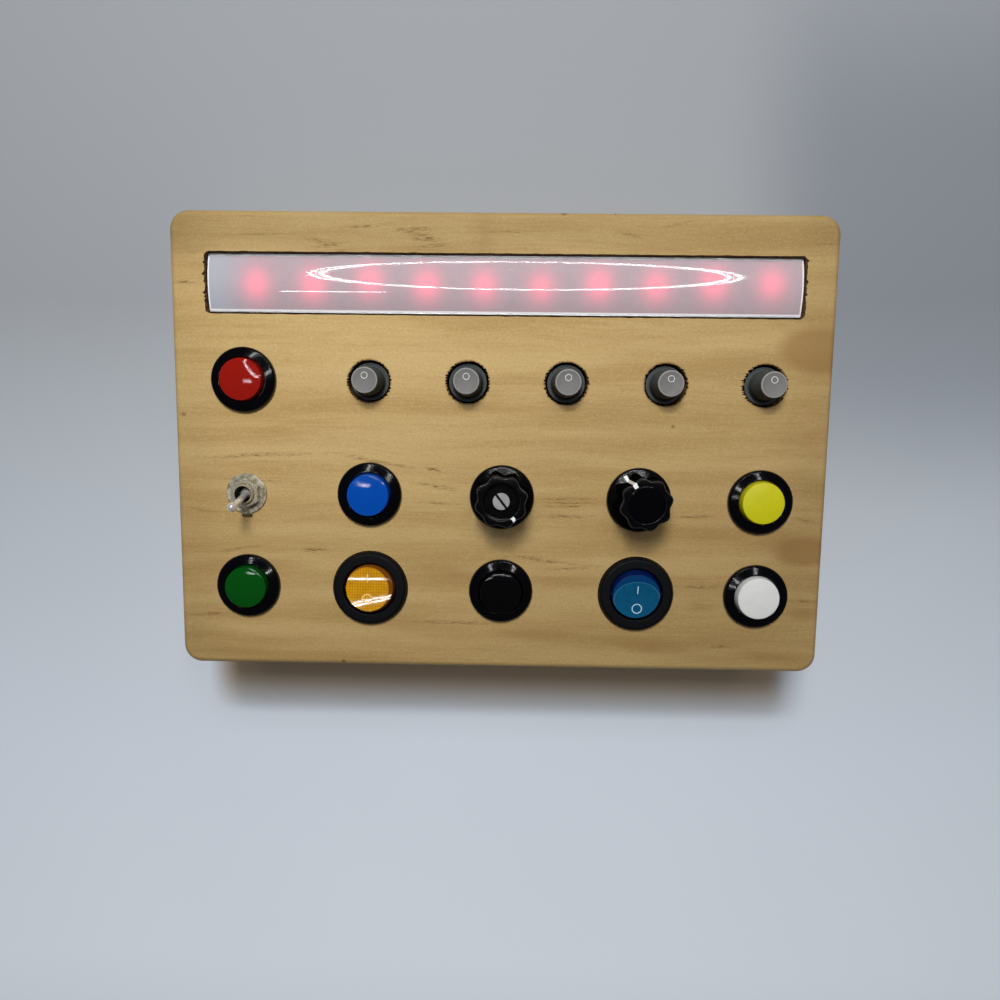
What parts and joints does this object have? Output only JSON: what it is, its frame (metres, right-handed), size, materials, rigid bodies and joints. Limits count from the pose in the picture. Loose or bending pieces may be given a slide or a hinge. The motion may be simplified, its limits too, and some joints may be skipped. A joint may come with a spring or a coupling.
{
  "type": "wooden busy board",
  "caption": "Flat pine box for a child whose face carries a lit window, push buttons, turning knobs, a toggle and round rockers.",
  "frame": {"origin": "middle of the flat back that the box lies on", "axes": "+Z out of the face, +X along the board from the red button to the white one, +Y towards the lit window"},
  "size_m": [0.194, 0.135, 0.0556],
  "materials": {
    "pine": "satin varnish over straight pine grain",
    "zinc_screw": "bright zinc",
    "aluminium": "satin anodised",
    "opal_cover": "milky, slightly glossy",
    "strip_tape": "white tape",
    "led_glow": "lit pink-red",
    "red_cap": "glossy",
    "blue_cap": "glossy",
    "yellow_cap": "satin",
    "green_cap": "glossy",
    "black_cap": "glossy",
    "white_cap": "satin",
    "black_gloss": "glossy",
    "black_satin": "satin",
    "spring_steel": "drawn wire",
    "tinned_metal": "tinned",
    "grey_knob": "moulded, slightly worn",
    "shaft_metal": "turned",
    "pot_case": "pressed steel",
    "circuit_board": "solder mask",
    "white_nylon": "nylon",
    "nickel": "dull nickel plate",
    "toggle_case": "pressed steel and red case",
    "amber_lens": "clear amber",
    "blue_lens": "clear blue",
    "battery_sleeve": "printed sleeve without any print",
    "wire": "insulated stranded wire"
  },
  "bodies": {
    "root": {"front_panel": "pine", "top_rail": "pine", "bottom_rail": "pine", "left_stile": "pine", "right_stile": "pine", "back_cover": "pine", "back_screws": "zinc_screw", "board_screws": "zinc_screw", "led_channel": "aluminium", "led_cover": "opal_cover", "led_strip": "strip_tape", "led_chips": "led_glow", "button_housings": "black_gloss", "button_nuts": "black_satin", "amber_rocker_housing": "black_satin", "blue_rocker_housing": "black_satin", "battery_holder": "black_satin", "button_springs": "spring_steel", "button_terminals": "tinned_metal", "toggle_terminals": "tinned_metal", "rocker_terminals": "tinned_metal", "dial_nuts": "tinned_metal", "knob_pots": "pot_case", "dial_pots": "pot_case", "knob_board": "circuit_board", "control_board": "circuit_board", "board_posts": "white_nylon", "toggle_nut": "nickel", "toggle_washer": "nickel", "toggle_body": "toggle_case", "batteries": "battery_sleeve", "power_leads": "wire", "light_leads": "wire", "knob_loom": "wire"},
    "red_button": {"red_button_cap": "red_cap"},
    "blue_button": {"blue_button_cap": "blue_cap"},
    "yellow_button": {"yellow_button_cap": "yellow_cap"},
    "green_button": {"green_button_cap": "green_cap"},
    "black_button": {"black_button_cap": "black_cap"},
    "white_button": {"white_button_cap": "white_cap"},
    "grey_knob_1": {"grey_knob_1": "grey_knob", "knob_shaft_1": "shaft_metal"},
    "grey_knob_2": {"grey_knob_2": "grey_knob", "knob_shaft_2": "shaft_metal"},
    "grey_knob_3": {"grey_knob_3": "grey_knob", "knob_shaft_3": "shaft_metal"},
    "grey_knob_4": {"grey_knob_4": "grey_knob", "knob_shaft_4": "shaft_metal"},
    "grey_knob_5": {"grey_knob_5": "grey_knob", "knob_shaft_5": "shaft_metal"},
    "left_dial": {"left_dial": "black_gloss", "left_dial_shaft": "shaft_metal", "left_dial_screw": "tinned_metal"},
    "right_dial": {"right_dial": "black_gloss", "right_dial_shaft": "shaft_metal", "right_dial_screw": "tinned_metal", "right_dial_cap": "black_gloss"},
    "toggle": {"toggle_lever": "nickel"},
    "amber_rocker": {"amber_rocker": "amber_lens"},
    "blue_rocker": {"blue_rocker": "blue_lens"}
  },
  "joints": [
    {"name": "red_button_press", "type": "slide", "parent": "root", "child": "red_button", "axis": [0, 0, -1], "range_m": [0, 0.0025], "stiffness_N_per_m": 400, "springref_m": -0.002, "deforming": ["button_springs"]},
    {"name": "blue_button_press", "type": "slide", "parent": "root", "child": "blue_button", "axis": [0, 0, -1], "range_m": [0, 0.0025], "stiffness_N_per_m": 400, "springref_m": -0.002, "deforming": ["button_springs"]},
    {"name": "yellow_button_press", "type": "slide", "parent": "root", "child": "yellow_button", "axis": [0, 0, -1], "range_m": [0, 0.0025], "stiffness_N_per_m": 400, "springref_m": -0.002, "deforming": ["button_springs"]},
    {"name": "green_button_press", "type": "slide", "parent": "root", "child": "green_button", "axis": [0, 0, -1], "range_m": [0, 0.0025], "stiffness_N_per_m": 400, "springref_m": -0.002, "deforming": ["button_springs"]},
    {"name": "black_button_press", "type": "slide", "parent": "root", "child": "black_button", "axis": [0, 0, -1], "range_m": [0, 0.0025], "stiffness_N_per_m": 400, "springref_m": -0.002, "deforming": ["button_springs"]},
    {"name": "white_button_press", "type": "slide", "parent": "root", "child": "white_button", "axis": [0, 0, -1], "range_m": [0, 0.0025], "stiffness_N_per_m": 400, "springref_m": -0.002, "deforming": ["button_springs"]},
    {"name": "grey_knob_1_turn", "type": "hinge", "parent": "root", "child": "grey_knob_1", "pos_m": [-0.0389, 0.0189, 0.042], "axis": [0, 0, 1], "range_deg": [-150, 150]},
    {"name": "grey_knob_2_turn", "type": "hinge", "parent": "root", "child": "grey_knob_2", "pos_m": [-0.00985, 0.0189, 0.042], "axis": [0, 0, 1], "range_deg": [-150, 150]},
    {"name": "grey_knob_3_turn", "type": "hinge", "parent": "root", "child": "grey_knob_3", "pos_m": [0.0192, 0.0189, 0.042], "axis": [0, 0, 1], "range_deg": [-150, 150]},
    {"name": "grey_knob_4_turn", "type": "hinge", "parent": "root", "child": "grey_knob_4", "pos_m": [0.04825, 0.0189, 0.042], "axis": [0, 0, 1], "range_deg": [-150, 150]},
    {"name": "grey_knob_5_turn", "type": "hinge", "parent": "root", "child": "grey_knob_5", "pos_m": [0.0773, 0.0189, 0.042], "axis": [0, 0, 1], "range_deg": [-150, 150]},
    {"name": "left_dial_turn", "type": "hinge", "parent": "root", "child": "left_dial", "pos_m": [0.00063, -0.0148, 0.042], "axis": [0, 0, 1], "range_deg": [-5, 295]},
    {"name": "right_dial_turn", "type": "hinge", "parent": "root", "child": "right_dial", "pos_m": [0.04137, -0.01507, 0.042], "axis": [0, 0, 1], "range_deg": [-182, 118]},
    {"name": "toggle_throw", "type": "hinge", "parent": "root", "child": "toggle", "pos_m": [-0.0759, -0.01471, 0.0416], "axis": [1, 0, 0], "range_deg": [-26, 0]},
    {"name": "amber_rocker_tilt", "type": "hinge", "parent": "root", "child": "amber_rocker", "pos_m": [-0.0389, -0.04305, 0.0422], "axis": [1, 0, 0], "range_deg": [0, 20]},
    {"name": "blue_rocker_tilt", "type": "hinge", "parent": "root", "child": "blue_rocker", "pos_m": [0.04137, -0.04357, 0.0422], "axis": [1, 0, 0], "range_deg": [-20, 0]}
  ]
}
